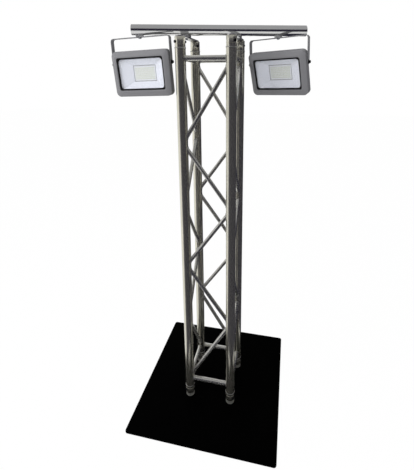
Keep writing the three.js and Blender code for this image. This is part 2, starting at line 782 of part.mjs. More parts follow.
// The strap, drawn at the hanging point: legs down, pivots level with the body's pivots.
function yoke() {
  const outer = yokeInnerHalf + yokeThickness;
  const inner = yokeInnerHalf;
  const bend = yokeBendRadius;
  const innerBend = bend - yokeThickness;
  const shape = new THREE.Shape();
  shape.moveTo(outer, -yokeRise);
  shape.absarc(outer - bend, -bend, bend, 0, quarterTurn, false);
  shape.absarc(bend - outer, -bend, bend, quarterTurn, Math.PI, false);
  shape.lineTo(-outer, -yokeRise);
  shape.lineTo(-inner, -yokeRise);
  shape.absarc(bend - outer, -bend, innerBend, Math.PI, quarterTurn, true);
  shape.absarc(outer - bend, -bend, innerBend, quarterTurn, 0, true);
  shape.lineTo(inner, -yokeRise);
  const geometry = new THREE.ExtrudeGeometry(shape, {
    depth: yokeWidth,
    bevelEnabled: false,
    curveSegments: arcSteps,
  });
  geometry.rotateX(quarterTurn);
  geometry.translate(0, yokeWidth * half, -padDrop);
  let strap = toSolid(geometry);
  const pivotHeight = -padDrop - yokeRise;
  for (const side of [-1, 1]) {
    const from = [side * inner, 0, pivotHeight];
    const to = [side * outer, 0, pivotHeight];
    strap = strap.add(rod(from, to, yokeWidth * half, yokeWidth * half, turnedSides));
    const hole = pivotRadius + seamGap;
    const drillFrom = [side * (inner - overrun), 0, pivotHeight];
    const drillTo = [side * (outer + overrun), 0, pivotHeight];
    strap = strap.subtract(rod(drillFrom, drillTo, hole, hole, smallSides));
  }
  const boltHole = hangBoltRadius + seamGap;
  const holeFoot = -padDrop - yokeThickness - overrun;
  return strap.subtract(rod([0, 0, holeFoot], [0, 0, 0], boltHole, boltHole, smallSides));
}

function hangingBolt() {
  const washerTop = -padDrop - yokeThickness - seamGap;
  const washerFoot = washerTop - hangBoltWasherHeight;
  const headFoot = washerFoot - hangBoltHeadHeight;
  const outline = [
    [0, headFoot],
    [hangBoltHeadRadius * half, headFoot],
    [hangBoltHeadRadius, headFoot + hangBoltHeadHeight * half],
    [hangBoltHeadRadius, washerFoot],
    [hangBoltWasherRadius, washerFoot],
    [hangBoltWasherRadius, washerTop],
    [hangBoltRadius, washerTop],
    [hangBoltRadius, hangBoltReach],
    [0, hangBoltReach],
  ];
  const socketTop = headFoot + hangBoltSocketDepth;
  const socketFoot = headFoot - overrun;
  const socketRadius = hangBoltSocketRadius;
  const socket = rod([0, 0, socketFoot], [0, 0, socketTop], socketRadius, socketRadius, hexSides);
  return turned(outline, turnedSides).subtract(socket);
}

// Saddle pad between tube and strap: its foot follows the strap, its upper face the tube.
function saddlePad(frame) {
  const foot = -padDrop + seamGap;
  const height = padRise - foot;
  const raised = block(padLength, padWidth, height, 0, 0, foot + height * half);
  const boltHole = hangBoltRadius + seamGap;
  const drill = rod([0, 0, foot - overrun], [0, 0, padRise + overrun], boltHole, boltHole, smallSides);
  return moved(raised.subtract(drill), frame).subtract(barClearance);
}

lampNames.forEach((name, i) => {
  const leanFrame = leanFrames[i];
  const pan = new THREE.Matrix4().makeRotationZ(lampPan[i] * degree);
  const drop = new THREE.Matrix4().makeTranslation(0, 0, -padDrop - yokeRise);
  const tilt = new THREE.Matrix4().makeRotationX(lampTilt[i] * degree);
  const hangFrame = barFrame.clone().multiply(leanFrame);
  const panFrame = hangFrame.clone().multiply(pan);
  const pivotFrame = panFrame.clone().multiply(drop);
  const tiltFrame = pivotFrame.clone().multiply(tilt);
  place(`${name}_lamp_saddle_pad`, saddlePad(leanFrame), aluminium, barFrame);
  place(`${name}_lamp_hanging_bolt`, hangingBolt(), zincSteel, hangFrame);
  place(`${name}_lamp_yoke`, yoke(), yokePaint, panFrame);
  place(`${name}_lamp_pivot_screw_left`, pivotScrew(-1), darkSteel, pivotFrame);
  place(`${name}_lamp_pivot_screw_right`, pivotScrew(1), darkSteel, pivotFrame);
  place(`${name}_lamp_housing`, housing(), greyPaint, tiltFrame);
  place(`${name}_lamp_bezel`, bezel(), greyPaint, tiltFrame);
  place(`${name}_lamp_seal_frame`, sealFrame(), blackRubber, tiltFrame);
  place(`${name}_lamp_glass`, glass(), clearGlass, tiltFrame);
  place(`${name}_lamp_reflector`, reflector(), whiteReflector, tiltFrame);
  place(`${name}_lamp_led_board`, ledBoard(), ledBoardMaterial, tiltFrame);
  place(`${name}_lamp_cable_gland`, gland(), blackPlastic, tiltFrame);
});

export default group;
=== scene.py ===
import bpy
import math
from mathutils import Matrix, Vector


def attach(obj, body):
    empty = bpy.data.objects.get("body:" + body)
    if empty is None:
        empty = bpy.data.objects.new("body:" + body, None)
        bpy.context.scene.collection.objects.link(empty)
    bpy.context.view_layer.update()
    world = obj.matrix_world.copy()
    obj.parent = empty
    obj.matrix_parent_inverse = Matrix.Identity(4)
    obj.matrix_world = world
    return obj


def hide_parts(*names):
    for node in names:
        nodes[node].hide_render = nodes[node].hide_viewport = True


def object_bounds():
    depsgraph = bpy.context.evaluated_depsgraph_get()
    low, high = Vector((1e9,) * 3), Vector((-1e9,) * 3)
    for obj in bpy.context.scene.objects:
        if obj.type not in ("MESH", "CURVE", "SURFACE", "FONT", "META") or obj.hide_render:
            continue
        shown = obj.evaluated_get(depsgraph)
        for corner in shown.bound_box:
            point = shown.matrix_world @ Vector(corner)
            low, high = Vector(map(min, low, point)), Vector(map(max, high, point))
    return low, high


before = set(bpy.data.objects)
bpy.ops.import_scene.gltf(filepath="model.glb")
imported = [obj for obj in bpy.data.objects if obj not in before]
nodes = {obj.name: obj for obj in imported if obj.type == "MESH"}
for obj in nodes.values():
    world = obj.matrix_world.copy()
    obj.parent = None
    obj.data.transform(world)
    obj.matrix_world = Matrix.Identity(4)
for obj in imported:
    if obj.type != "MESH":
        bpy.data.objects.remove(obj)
cadLow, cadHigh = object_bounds()
mm = 0.001
overrun = 3  # how far a cutter passes the face it cuts
softShare = 0.3  # where the middle point of a rounded chamfer lies, as a share of its size
print("frame loaded,", len(nodes), "nodes")

# Camera: its place and turn were worked out from the truss tubes and the plate corners
camera = {
    "imageWidth": 414, "imageHeight": 470,
    "focalPixels": 318.96,
    "centrePixelX": 224.02, "centrePixelY": 150.35,
    "place": (0.3843, -1.5827, 1.8517),
    "pitch": -13.062, "yaw": 11.557, "roll": 0.046,
    "sensor": 36,
}


def makeCamera(values):
    longSide = max(values["imageWidth"], values["imageHeight"])
    bpy.ops.object.camera_add()
    lens = bpy.context.object
    lens.name = "photoCamera"
    lens.data.sensor_width = values["sensor"]
    lens.data.lens = values["focalPixels"] / longSide * values["sensor"]
    lens.data.shift_x = (values["imageWidth"] / 2 - values["centrePixelX"]) / longSide
    lens.data.shift_y = (values["centrePixelY"] - values["imageHeight"] / 2) / longSide
    lens.data.clip_end = 50
    turn = Matrix.Rotation(math.radians(values["yaw"]), 4, "Z")
    turn = turn @ Matrix.Rotation(math.radians(values["pitch"]), 4, "X")
    turn = turn @ Matrix.Rotation(math.radians(values["roll"]), 4, "Y")
    turn = turn @ Matrix.Rotation(math.radians(90), 4, "X")
    lens.matrix_world = Matrix.Translation(values["place"]) @ turn
    bpy.context.scene.camera = lens


makeCamera(camera)
print("camera placed")


# Small helpers for modelling. Sizes are in millimetres, the meshes in metres.
def clearSelection():
    if bpy.context.object and bpy.context.object.mode == "EDIT":
        bpy.ops.object.mode_set(mode="OBJECT")
    bpy.ops.object.select_all(action="DESELECT")


def pick(*pieces):
    clearSelection()
    for piece in pieces:
        piece.select_set(True)
    bpy.context.view_layer.objects.active = pieces[0]


def put(piece, place):
    pick(piece)
    piece.matrix_world = place @ piece.matrix_world
    bpy.ops.object.transform_apply(location=True, rotation=True, scale=True)
    return piece


def copied(piece, name, place):
    pick(piece)
    bpy.ops.object.duplicate()
    twin = bpy.context.object
    twin.name = twin.data.name = name
    return put(twin, place)


def joined(*pieces):
    pick(*pieces)
    bpy.ops.object.join()
    return bpy.context.object


def modify(piece, kind, **settings):
    pick(piece)
    modifier = piece.modifiers.new(kind.title(), kind)
    for name, value in settings.items():
        setattr(modifier, name, value)
    bpy.ops.object.modifier_apply(modifier=modifier.name)
    return piece


def combine(piece, tool, operation):
    modify(piece, "BOOLEAN", operation=operation, object=tool, solver="EXACT")
    bpy.data.objects.remove(tool)
    return piece


def smooth(piece, angle=35):
    pick(piece)
    bpy.ops.object.shade_smooth_by_angle(angle=math.radians(angle))
    return piece


def rounded(piece, width, segments=2, angle=40):
    modify(piece, "BEVEL", width=width * mm, segments=segments, limit_method="ANGLE",
           angle_limit=math.radians(angle))
    return smooth(piece)


def shift(x, y, z):
    return Matrix.Translation(Vector((x, y, z)) * mm)


def spun(degrees, axis):
    return Matrix.Rotation(math.radians(degrees), 4, axis)


def startPoint(name, at):
    clearSelection()
    bpy.ops.mesh.primitive_plane_add(size=mm)
    piece = bpy.context.object
    piece.name = piece.data.name = name
    bpy.ops.object.mode_set(mode="EDIT")
    bpy.ops.mesh.merge(type="CENTER")
    bpy.ops.transform.translate(value=Vector(at) * mm)
    return piece


def drawOn(points):
    for last, point in zip(points, points[1:]):
        step = (Vector(point) - Vector(last)) * mm
        bpy.ops.mesh.extrude_region_move(TRANSFORM_OT_translate={"value": step})


def closeUp():
    bpy.ops.mesh.select_all(action="SELECT")
    bpy.ops.mesh.remove_doubles(threshold=0.01 * mm)
    bpy.ops.mesh.normals_make_consistent(inside=False)
    bpy.ops.object.mode_set(mode="OBJECT")


def selectWhere(piece, wanted):
    # Leaves the piece in edit mode with the wanted vertices selected
    pick(piece)
    bpy.ops.object.mode_set(mode="EDIT")
    bpy.ops.mesh.select_all(action="DESELECT")
    bpy.ops.object.mode_set(mode="OBJECT")
    for vertex in piece.data.vertices:
        vertex.select = wanted(vertex.co)
    bpy.ops.object.mode_set(mode="EDIT")


def turned(name, profile, steps=48):
    # A profile of (radius, height) points, spun about Z
    points = [(radius, 0, height) for radius, height in profile]
    piece = startPoint(name, points[0])
    drawOn(points)
    bpy.ops.mesh.select_all(action="SELECT")
    bpy.ops.mesh.spin(steps=steps, angle=-2 * math.pi, center=(0, 0, 0), axis=(0, 0, 1))
    closeUp()
    return smooth(piece)


def rod(name, start, end, radius, endRadius=None, sides=32):
    start, end = Vector(start) * mm, Vector(end) * mm
    clearSelection()
    bpy.ops.mesh.primitive_cone_add(
        vertices=sides, radius1=radius * mm, radius2=(endRadius or radius) * mm,
        depth=(end - start).length, location=(start + end) / 2,
        rotation=(end - start).to_track_quat("Z", "Y").to_euler())
    piece = bpy.context.object
    piece.name = piece.data.name = name
    bpy.ops.object.transform_apply()
    return piece


def block(name, size, centre):
    clearSelection()
    bpy.ops.mesh.primitive_cube_add(size=mm, location=Vector(centre) * mm, scale=size)
    piece = bpy.context.object
    piece.name = piece.data.name = name
    bpy.ops.object.transform_apply()
    return piece


def flatPlate(name, width, length, radius, bottom, thickness):
    clearSelection()
    bpy.ops.mesh.primitive_plane_add(size=mm, location=(0, 0, bottom * mm))
    piece = bpy.context.object
    piece.name = piece.data.name = name
    piece.scale = (width, length, 1)
    bpy.ops.object.transform_apply()
    bpy.ops.object.mode_set(mode="EDIT")
    bpy.ops.mesh.bevel(offset=radius * mm, segments=10, affect="VERTICES")
    bpy.ops.mesh.extrude_region_move(TRANSFORM_OT_translate={"value": (0, 0, thickness * mm)})
    closeUp()
    return piece


def selectLoops(piece, *groups):
    bpy.ops.mesh.select_all(action="DESELECT")
    for group in groups:
        piece.vertex_groups.active_index = group
        bpy.ops.object.vertex_group_select()


def framed(name, loops, middle, capped):
    # Rounded rectangles (width, height, corner radius, y) joined one after the other.
    # Capped: the first and last are closed with a face. Otherwise the last meets the first.
    piece = startPoint(name, (0, 0, 0))
    bpy.ops.mesh.delete(type="VERT")
    # Two loops in one plane would be bridged crosswise, so each lies a little before or behind the next.
    for width, height, radius, y in loops:
        centre = Vector((0, y, middle)) * mm
        bpy.ops.mesh.primitive_plane_add(size=mm, location=centre, rotation=(math.pi / 2, 0, 0))
        bpy.ops.transform.resize(value=(width, 1, height), center_override=centre)
        bpy.ops.mesh.bevel(offset=radius * mm, segments=8, affect="VERTICES")
        bpy.ops.object.vertex_group_assign_new()
        bpy.ops.mesh.delete(type="ONLY_FACE")
    count = len(loops)
    for i in range(count - 1 if capped else count):
        selectLoops(piece, i, (i + 1) % count)
        bpy.ops.mesh.bridge_edge_loops()
    if capped:
        for i in (0, count - 1):
            selectLoops(piece, i)
            bpy.ops.mesh.edge_face_add()
    bpy.ops.object.vertex_group_remove(all=True)
    closeUp()
    return smooth(piece)


def hexHead(name, radius, bottom, height, chamfer):
    head = rod(name, (0, 0, bottom), (0, 0, bottom + height), radius, sides=6)
    top = bottom + height
    dome = turned("hexDome", [(0, bottom - 1), (radius + 1, bottom - 1), (radius + 1, top - chamfer),
                              (radius * 0.86, top + 0.01), (0, top + 0.01)], 36)
    return combine(head, dome, "INTERSECT")


def weldBead(name, points, radius, ripple=0.14):
    clearSelection()
    bpy.ops.curve.primitive_bezier_circle_add(radius=mm)
    bead = bpy.context.object
    bead.name = bead.data.name = name
    bpy.ops.object.mode_set(mode="EDIT")
    bpy.ops.curve.subdivide(number_cuts=len(points) // 4 - 1)
    bpy.ops.curve.spline_type_set(type="POLY")
    bpy.ops.object.mode_set(mode="OBJECT")
    for i, point in enumerate(bead.data.splines[0].points):
        point.co = (*(points[i] * mm), 1)
        point.radius = 1 + ripple * (1 - 2 * (i % 2))
    bead.data.bevel_depth = radius * mm
    bead.data.bevel_resolution = 2
    pick(bead)
    bpy.ops.object.convert(target="MESH")
    bpy.ops.object.mode_set(mode="EDIT")
    closeUp()
    return smooth(bead, 60)


# Materials
def linear(hexColour):
    channels = [int(hexColour[i:i + 2], 16) / 255 for i in (1, 3, 5)]
    bent = [c / 12.92 if c <= 0.04045 else ((c + 0.055) / 1.055) ** 2.4 for c in channels]
    return (*bent, 1)


def addNode(tree, kind, settings=None, inputs=None, links=None):
    node = tree.nodes.new(kind)
    for name, value in (settings or {}).items():
        setattr(node, name, value)
    for name, value in (inputs or {}).items():
        node.inputs[name].default_value = value
    for name, source in (links or {}).items():
        tree.links.new(source, node.inputs[name])
    return node


def newMaterial(name):
    material = bpy.data.materials.new(name)
    material.use_nodes = True
    tree = material.node_tree
    tree.nodes.clear()
    return material, tree


# Grain is the length of the pattern along each axis in mm, mottle the size of the cloudy patches,
# bump the depth of the grain in mm. Grain under 1 mm is drawn a little coarser, so that it shows.
finishes = {
    # Drawn aluminium tube, mill finish: warm silver with faint lines along the tube
    "drawnAluminiumTube": {
        "colour": "#d8d5c6", "shade": "#ccc9bb", "metallic": 0.95, "roughness": (0.17, 0.25),
        "grain": (1.2, 1.2, 160), "mottle": 60, "bump": 0.002},
    # The same tube in other directions: a soft haze from handling instead of lines
    "hazyAluminiumTube": {
        "colour": "#d2d1cb", "shade": "#c4c3bd", "metallic": 0.95, "roughness": (0.18, 0.3),
        "grain": (5, 5, 5), "mottle": 45, "bump": 0.004},
    # Weld metal: bright silver ripples, a little matt
    "weldAluminium": {
        "colour": "#c8c8c4", "shade": "#a9a8a2", "metallic": 0.93, "roughness": (0.28, 0.42),
        "grain": (1, 1, 1), "mottle": 6, "bump": 0.02},
    # Turned aluminium: fine rings around the axis
    "turnedAluminium": {
        "colour": "#cfcec6", "shade": "#bfbeb6", "metallic": 0.88, "roughness": (0.25, 0.35),
        "grain": (40, 40, 0.8), "mottle": 30, "bump": 0.004},
    # Anodised aluminium tube: neutral silver, lines along the tube
    "anodisedAluminiumTube": {
        "colour": "#d8d8d6", "shade": "#cfcfcf", "metallic": 1, "roughness": (0.1, 0.17),
        "grain": (220, 1, 1), "mottle": 90, "bump": 0.002, "turn": 14.7},
    # Sawn and milled aluminium flat bar: dull silver
    "milledAluminium": {
        "colour": "#dadad8", "shade": "#cecece", "metallic": 1, "roughness": (0.38, 0.5),
        "grain": (1, 30, 1), "mottle": 25, "bump": 0.006},
    # Zinc plated steel: grey with a cool cloudy sheen
    "zincPlatedSteel": {
        "colour": "#c2c4c8", "shade": "#adb0b4", "metallic": 1, "roughness": (0.32, 0.44),
        "grain": (2, 2, 2), "mottle": 5, "bump": 0.01},
    # Blackened steel: nearly black with a low oily shine
    "blackenedSteel": {
        "colour": "#39393b", "shade": "#2b2b2d", "metallic": 1, "roughness": (0.38, 0.5),
        "grain": (1.5, 1.5, 1.5), "mottle": 6, "bump": 0.01},
    # Black powder coat on steel: deep black with a fine sandy grain and hardly any shine
    "blackPowderCoat": {
        "colour": "#010101", "shade": "#020202", "metallic": 0, "roughness": (0.65, 0.8),
        "grain": (1.4, 1.4, 1.4), "mottle": 120, "bump": 0.03, "ior": 1.5, "specular": 0.01},
    # Grey powder coat on cast aluminium: even mid grey, fine orange peel
    "greyPowderCoat": {
        "colour": "#77777a", "shade": "#727275", "metallic": 0, "roughness": (0.42, 0.55),
        "grain": (1.8, 1.8, 1.8), "mottle": 40, "bump": 0.03, "ior": 1.5},
    # Darker grey powder coat on the steel strap
    "darkGreyPowderCoat": {
        "colour": "#7c7c7f", "shade": "#767679", "metallic": 0, "roughness": (0.42, 0.55),
        "grain": (1.8, 1.8, 1.8), "mottle": 40, "bump": 0.03, "ior": 1.5},
    # Black silicone rubber: soft, dull and slightly dusty
    "blackSiliconeRubber": {
        "colour": "#0b0b0c", "shade": "#151516", "metallic": 0, "roughness": (0.65, 0.8),
        "grain": (1, 1, 1), "mottle": 12, "bump": 0.02, "ior": 1.42},
    # Black nylon: moulded, with a low sheen
    "blackNylon": {
        "colour": "#141415", "shade": "#1b1b1c", "metallic": 0, "roughness": (0.4, 0.5),
        "grain": (1.2, 1.2, 1.2), "mottle": 10, "bump": 0.015, "ior": 1.53},
    # White coated reflector sheet: satin, cool white
    "whiteReflectorSheet": {
        "colour": "#e2e4f0", "shade": "#dadce8", "metallic": 0, "roughness": (0.22, 0.3),
        "grain": (3, 3, 3), "mottle": 30, "bump": 0.006, "ior": 1.5},
    # White solder mask on the light board
    "whiteSolderMask": {
        "colour": "#dcdee4", "shade": "#d4d6dc", "metallic": 0, "roughness": (0.35, 0.45),
        "grain": (0.8, 0.8, 0.8), "mottle": 8, "bump": 0.005, "ior": 1.5},
    # Phosphor over the light chips: pale grey green, matt
    "phosphorGel": {
        "colour": "#cdd1c2", "shade": "#c6cabb", "metallic": 0, "roughness": (0.45, 0.55),
        "grain": (0.6, 0.6, 0.6), "mottle": 3, "bump": 0.01, "ior": 1.42},
    # Toughened glass: clear, seen by its shine and a trace of dust
    "toughenedGlass": {
        "colour": "#f2f5f4", "shade": "#e6ebe9", "metallic": 0, "roughness": (0.02, 0.06),
        "grain": (20, 20, 20), "mottle": 60, "bump": 0, "ior": 1.52, "alpha": 0.1},
}


def makeFinish(name, values):
    material, tree = newMaterial(name)
    place = addNode(tree, "ShaderNodeTexCoord")
    along = addNode(tree, "ShaderNodeMapping", {"vector_type": "TEXTURE"},
                    {"Rotation": (0, 0, math.radians(values.get("turn", 0))),
                     "Scale": Vector(values["grain"]) * mm},
                    {"Vector": place.outputs["Object"]})
    grain = addNode(tree, "ShaderNodeTexNoise", inputs={"Scale": 1, "Detail": 3},
                    links={"Vector": along.outputs[0]})
    mottle = addNode(tree, "ShaderNodeTexNoise", inputs={"Scale": 1 / (values["mottle"] * mm), "Detail": 2},
                     links={"Vector": place.outputs["Object"]})
    colour = addNode(tree, "ShaderNodeMix", {"data_type": "RGBA"},
                     {6: linear(values["colour"]), 7: linear(values["shade"])},
                     {0: mottle.outputs["Fac"]})
    low, high = values["roughness"]
    sheen = addNode(tree, "ShaderNodeMapRange",
                    inputs={"From Min": 0.3, "From Max": 0.7, "To Min": low, "To Max": high},
                    links={"Value": grain.outputs["Fac"]})
    inputs = {"Metallic": values["metallic"], "Alpha": values.get("alpha", 1)}
    if "ior" in values:
        inputs["IOR"] = values["ior"]
    if "specular" in values:
        inputs["Specular IOR Level"] = values["specular"]
    links = {"Base Color": colour.outputs[2], "Roughness": sheen.outputs[0]}
    if values["bump"]:
        bump = addNode(tree, "ShaderNodeBump", inputs={"Distance": values["bump"] * mm},
                       links={"Height": grain.outputs["Fac"]})
        links["Normal"] = bump.outputs[0]
    shader = addNode(tree, "ShaderNodeBsdfPrincipled", inputs=inputs, links=links)
    addNode(tree, "ShaderNodeOutputMaterial", links={"Surface": shader.outputs[0]})
    return material


materials = {name: makeFinish(name, values) for name, values in finishes.items()}


def paint(piece, finish):
    piece.data.materials.clear()
    piece.data.materials.append(materials[finish])
    return piece


def fit(piece, body, slot, finish, *replaced):
    if finish:
        paint(piece, finish)
    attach(piece, body)
    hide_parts(*replaced)


print("materials made")

# World and lamps: a white surround, one large soft lamp at the left front, one weak lamp at the right
studio = {
    "surround": "#ffffff", "fillStrength": 0.62,
    "keyPlace": (-2.6, -2.4, 3.2), "keySize": 2.2, "keyPower": 105,
    "fillPlace": (2.8, -1.6, 2.2), "fillSize": 2.0, "fillPower": 14,
    "aim": (0, 0, 1.1),
    "floorColour": "#fafafa", "floorWhite": 0.985, "floorSize": 30, "floorDrop": 0.4,
}


def makeWorld(values):
    world = bpy.data.worlds.new("whiteSurround")
    bpy.context.scene.world = world
    world.use_nodes = True
    tree = world.node_tree
    tree.nodes.clear()
    path = addNode(tree, "ShaderNodeLightPath")
    mirrored = addNode(tree, "ShaderNodeMath", {"operation": "MAXIMUM"},
                       links={0: path.outputs["Is Glossy Ray"], 1: path.outputs["Is Transmission Ray"]})
    seen = addNode(tree, "ShaderNodeMath", {"operation": "MAXIMUM"},
                   links={0: path.outputs["Is Camera Ray"], 1: mirrored.outputs[0]})
    lit = addNode(tree, "ShaderNodeBackground",
                  inputs={"Color": linear(values["surround"]), "Strength": values["fillStrength"]})
    white = addNode(tree, "ShaderNodeBackground",
                    inputs={"Color": linear(values["surround"]), "Strength": 1})
    mix = addNode(tree, "ShaderNodeMixShader",
                  links={0: seen.outputs[0], 1: lit.outputs[0], 2: white.outputs[0]})
    addNode(tree, "ShaderNodeOutputWorld", links={"Surface": mix.outputs[0]})


def makeLamp(name, place, size, power, aim):
    bpy.ops.object.light_add(type="AREA", location=place)
    lamp = bpy.context.object
    lamp.name = name
    lamp.data.size = size
    lamp.data.energy = power
    away = Vector(aim) - Vector(place)
    lamp.rotation_euler = away.to_track_quat("-Z", "Y").to_euler()
    lamp.visible_glossy = False


def makeFloor(values):
    clearSelection()
    place = (0, 0, cadLow.z - values["floorDrop"] * mm)
    bpy.ops.mesh.primitive_plane_add(size=values["floorSize"], location=place)
    floor = bpy.context.object
    floor.name = "paleFloor"
    # Matt paper roll. Seen directly or in metal it is all but white, with a faint shadow.
    material, tree = newMaterial("palePaperFloor")
    paper = addNode(tree, "ShaderNodeBsdfDiffuse", inputs={"Color": linear(values["floorColour"])})
    white = addNode(tree, "ShaderNodeEmission", inputs={"Color": linear(values["surround"])})
    path = addNode(tree, "ShaderNodeLightPath")
    seen = addNode(tree, "ShaderNodeMath", {"operation": "MAXIMUM"},
                   links={0: path.outputs["Is Camera Ray"], 1: path.outputs["Is Glossy Ray"]})
    share = addNode(tree, "ShaderNodeMath", {"operation": "MULTIPLY"}, {1: values["floorWhite"]},
                    {0: seen.outputs[0]})
    mix = addNode(tree, "ShaderNodeMixShader",
                  links={0: share.outputs[0], 1: paper.outputs[0], 2: white.outputs[0]})
    addNode(tree, "ShaderNodeOutputMaterial", links={"Surface": mix.outputs[0]})
    floor.data.materials.append(material)


# Felt cards that only mirrors see. They give the tubes their dark middle and right edge.
# Angles are counted from the camera's side towards the right, in degrees.
cards = {
    "wall": {"radius": 6.0, "bottom": 0.0, "top": 4.2, "from": -62, "to": 172},
    "floor": {"radius": 6.0, "inner": 0.45, "height": 0.004, "from": -62, "to": 172},
    "ceiling": {"radius": 6.0, "inner": 0.0, "height": 4.2, "from": -180, "to": 180},
    "strip": {"length": 1100, "middle": 40, "near": -30, "far": -102, "height": 2022},
    "steps": 48, "softFrom": -64, "softTo": -34,
    "softColour": "#86848e", "darkColour": "#2e2d3a", "ceilingColour": "#b2b2b4", "stripColour": "#f4f4f4",
}


def makeCard(name, path, start, end, material):
    clearSelection()
    side = math.radians(camera["yaw"] - 90 + start)
    points = [(math.cos(side) * radius / mm, math.sin(side) * radius / mm, height / mm)
              for radius, height in path]
    card = startPoint(name, points[0])
    drawOn(points)
    bpy.ops.mesh.select_all(action="SELECT")
    bpy.ops.mesh.spin(steps=cards["steps"], angle=math.radians(start - end),
                      center=(0, 0, 0), axis=(0, 0, 1))
    bpy.ops.object.mode_set(mode="OBJECT")
    hang(card, material)


def hang(card, material):
    card.data.materials.append(material)
    card.visible_camera = False
    card.visible_diffuse = False
    card.visible_shadow = False
    card.visible_transmission = False


def feltMaterial(name, colour):
    material, tree = newMaterial(name)  # felt, lit evenly so that it has no hot spots
    shader = addNode(tree, "ShaderNodeEmission", inputs={"Color": linear(colour)})
    addNode(tree, "ShaderNodeOutputMaterial", links={"Surface": shader.outputs[0]})
    return material


def gradedFelt(name, values):
    # Fades from mid grey at the left end of the card to near black
    material, tree = newMaterial(name)
    place = addNode(tree, "ShaderNodeTexCoord")
    around = addNode(tree, "ShaderNodeTexGradient", {"gradient_type": "RADIAL"},
                     links={"Vector": place.outputs["Object"]})
    ends = [(camera["yaw"] - 90 + values[end]) / 360 + 0.5 for end in ("softFrom", "softTo")]
    fade = addNode(tree, "ShaderNodeMapRange", {"interpolation_type": "SMOOTHSTEP"},
                   {"From Min": ends[0], "From Max": ends[1]}, {"Value": around.outputs["Fac"]})
    colour = addNode(tree, "ShaderNodeMix", {"data_type": "RGBA"},
                     {6: linear(values["softColour"]), 7: linear(values["darkColour"])},
                     {0: fade.outputs[0]})
    shader = addNode(tree, "ShaderNodeEmission", links={"Color": colour.outputs[2]})
    addNode(tree, "ShaderNodeOutputMaterial", links={"Surface": shader.outputs[0]})
    return material


def makeCards(values):
    graded = gradedFelt("gradedFeltCard", values)
    wall = values["wall"]
    wallPath = [(wall["radius"], wall["bottom"]), (wall["radius"], wall["top"])]
    makeCard("wallCard", wallPath, wall["from"], wall["to"], graded)
    grey = feltMaterial("greyFeltCard", values["ceilingColour"])
    for name, material in (("floor", graded), ("ceiling", grey)):
        card = values[name]
        path = [(card["inner"], card["height"]), (card["radius"], card["height"])]
        makeCard(name + "Card", path, card["from"], card["to"], material)
    # A white strip just under the front of the cross tube, for the bright line along its lower side
    strip = values["strip"]
    card = flatPlate("stripCard", strip["length"], strip["near"] - strip["far"], 5, strip["height"], 0.5)
    put(card, spun(bar["turn"], "Z") @ shift(strip["middle"], (strip["near"] + strip["far"]) / 2, 0))
    hang(card, feltMaterial("whiteFeltCard", values["stripColour"]))


bpy.context.scene.view_settings.view_transform = "Standard"
makeWorld(studio)
makeLamp("keyLamp", studio["keyPlace"], studio["keySize"], studio["keyPower"], studio["aim"])
makeLamp("fillLamp", studio["fillPlace"], studio["fillSize"], studio["fillPower"], studio["aim"])
makeFloor(studio)
print("studio made")

# Corners and sides in the order in which a quarter turn leads from one to the next
corners = ("front_right", "front_left", "back_left", "back_right")
sides = ("front", "left", "back", "right")
quarter = [spun(-90 * i, "Z") for i in range(4)]

# Base plate
plate = {
    "width": 800, "thickness": 8, "cornerRadius": 14, "edge": 0.9,
    "screwHole": 6.3, "headHole": 12.3, "headDepth": 6.4,
}
spacing = 120  # truss axis to chord axis, along X and along Y


def makePlate(values):
    piece = flatPlate("basePlate", values["width"], values["width"], values["cornerRadius"],
                      0, values["thickness"])
    rounded(piece, values["edge"], 3, 60)
    hole, sink, depth = values["screwHole"], values["headHole"], values["headDepth"]
    drill = turned("plateDrill", [(0, -depth), (sink * 2 - hole, -depth), (hole, depth),
                                  (hole, values["thickness"] + overrun),
                                  (0, values["thickness"] + overrun)], 32)
    put(drill, shift(spacing, -spacing, 0))
    drills = [copied(drill, "plateDrill", quarter[i]) for i in (1, 2, 3)]
    combine(piece, joined(drill, *drills), "DIFFERENCE")
    smooth(piece)
    fit(piece, "stand", "base_plate", "blackPowderCoat", "base_plate")


makePlate(plate)
print("base plate made")

# Half couplers and taper pins
coupler = {
    "foot": 8.3, "flangeTop": 28.3, "coneTop": 72.3, "radius": 24.5, "chamfer": 1.5,
    "coneBase": 19, "coneTip": 16, "tipChamfer": 2, "bore": 6.3, "boreTop": 34,
    "grooveHeight": 16.5, "grooveDepth": 0.8, "grooveWidth": 2,
}
pins = {
    "lower": 50.6, "upper": 2006.6, "headRadius": 6.4, "tailRadius": 5.6,
    "headReach": 29.5, "tailReach": 30.5, "play": 0.3, "edge": 1, "clipHole": 1.7, "clipFromEnd": 3.2,
}
diagonal = Vector((1, -1, 0)).normalized()  # outwards at the front right corner


def pinTool(z, play):
    corner = Vector((spacing, -spacing, z))
    return rod("pinTool", corner - diagonal * pins["tailReach"], corner + diagonal * pins["headReach"],
               pins["tailRadius"] + play, pins["headRadius"] + play, 32)


